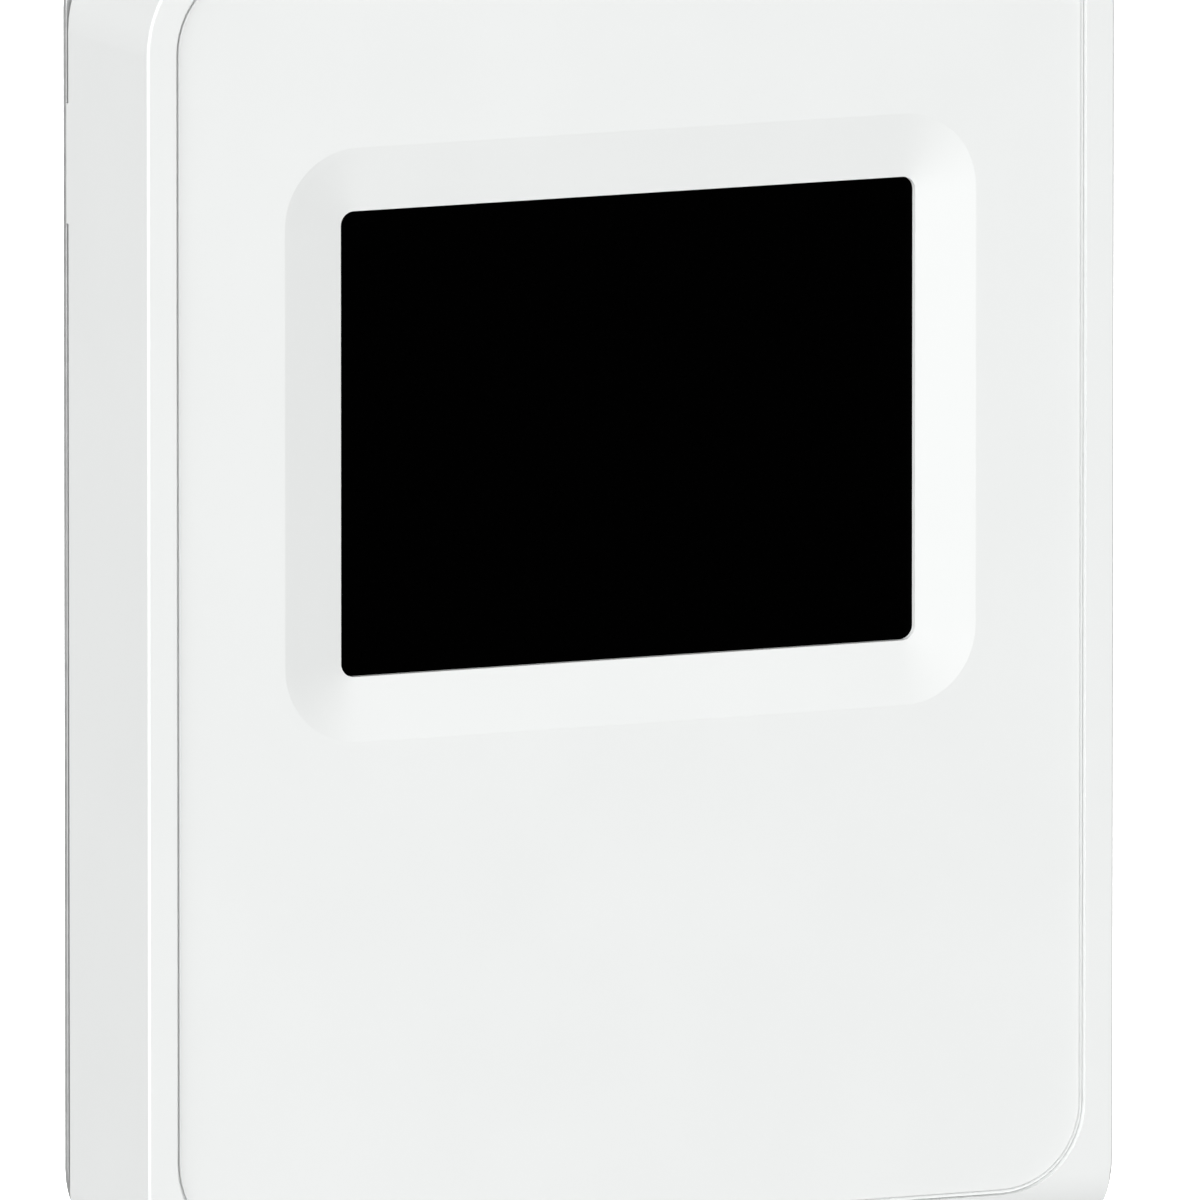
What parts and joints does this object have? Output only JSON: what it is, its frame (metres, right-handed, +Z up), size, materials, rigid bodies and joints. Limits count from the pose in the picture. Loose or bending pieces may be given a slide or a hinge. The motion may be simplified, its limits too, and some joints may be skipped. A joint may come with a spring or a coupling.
{
  "type": "video doorbell monitor",
  "caption": "White wall-mounted video door-entry monitor with a black screen in a bevelled recess, a rounded chin and a hook-on wall plate.",
  "frame": {"origin": "centre of the four wall screw holes, on the wall plate's back face, which lies on the wall", "axes": "+Y into the wall, so the screen faces -Y; +Z up; +X to the right for a person who looks at the screen"},
  "size_m": [0.121, 0.0248, 0.163],
  "materials": {
    "shell_white": "fine satin texture, moulded ABS",
    "chassis_grey": "moulded ABS, natural grey",
    "facia_white": "fine satin texture, moulded ABS",
    "screen_black": "black-printed cover glass with matt anti-glare face",
    "black_foam": "closed-cell foam",
    "tape_white": "adhesive film",
    "lcd_dark": "polariser film",
    "light_guide": "milky acrylic",
    "tray_steel": "plated sheet steel",
    "screw_steel": "zinc-plated",
    "flex_film": "polyimide film",
    "socket_beige": "moulded nylon",
    "board_green": "solder mask",
    "chip_black": "moulded epoxy",
    "can_tin": "tinned steel",
    "coil_ferrite": "ferrite with lacquered winding",
    "capacitor_can": "bare aluminium can",
    "terminal_grey": "moulded polyamide",
    "speaker_black": "moulded basket",
    "cone_film": "plastic diaphragm",
    "lead_insulation": "PVC insulation",
    "mic_can": "aluminium capsule",
    "boot_rubber": "silicone",
    "switch_black": "moulded body",
    "button_grey": "satin",
    "cover_white": "fine satin texture",
    "plate_steel": "zinc-plated sheet steel"
  },
  "bodies": {
    "plate": {"wall_plate": "plate_steel"},
    "monitor": {"housing": "shell_white", "chassis": "chassis_grey", "front_panel": "facia_white", "panel_tape": "tape_white", "touch_glass": "screen_black", "glass_gasket": "black_foam", "lcd_cell": "lcd_dark", "backlight": "light_guide", "display_tray": "tray_steel", "tray_screws": "screw_steel", "display_flex": "flex_film", "flex_socket": "socket_beige", "main_board": "board_green", "board_screws": "screw_steel", "processor": "chip_black", "memory_chips": "chip_black", "shield_can": "can_tin", "bus_coil": "coil_ferrite", "capacitors": "capacitor_can", "bus_terminal": "terminal_grey", "terminal_screws": "screw_steel", "speaker_frame": "speaker_black", "speaker_cone": "cone_film", "speaker_gasket": "black_foam", "speaker_lead": "lead_insulation", "microphone": "mic_can", "microphone_boot": "boot_rubber", "reset_switch": "switch_black", "rear_cover": "cover_white", "cover_screws": "screw_steel"},
    "button": {"reset_button": "button_grey"},
    "plunger": {"reset_plunger": "switch_black"}
  },
  "joints": [
    {"name": "unit_lift", "type": "slide", "parent": "plate", "child": "monitor", "axis": [0, 0, 1], "range_m": [0, 0.006]},
    {"name": "reset_press", "type": "slide", "parent": "monitor", "child": "button", "axis": [0, 0, 1], "range_m": [0, 0.0006], "stiffness_N_per_m": 500, "springref_m": -0.001},
    {"name": "plunger_press", "type": "slide", "parent": "monitor", "child": "plunger", "axis": [0, 0, 1], "range_m": [0, 0.0006]}
  ],
  "couplings": [
    {"joint": "plunger_press", "follows": "reset_press", "ratio": 1}
  ]
}
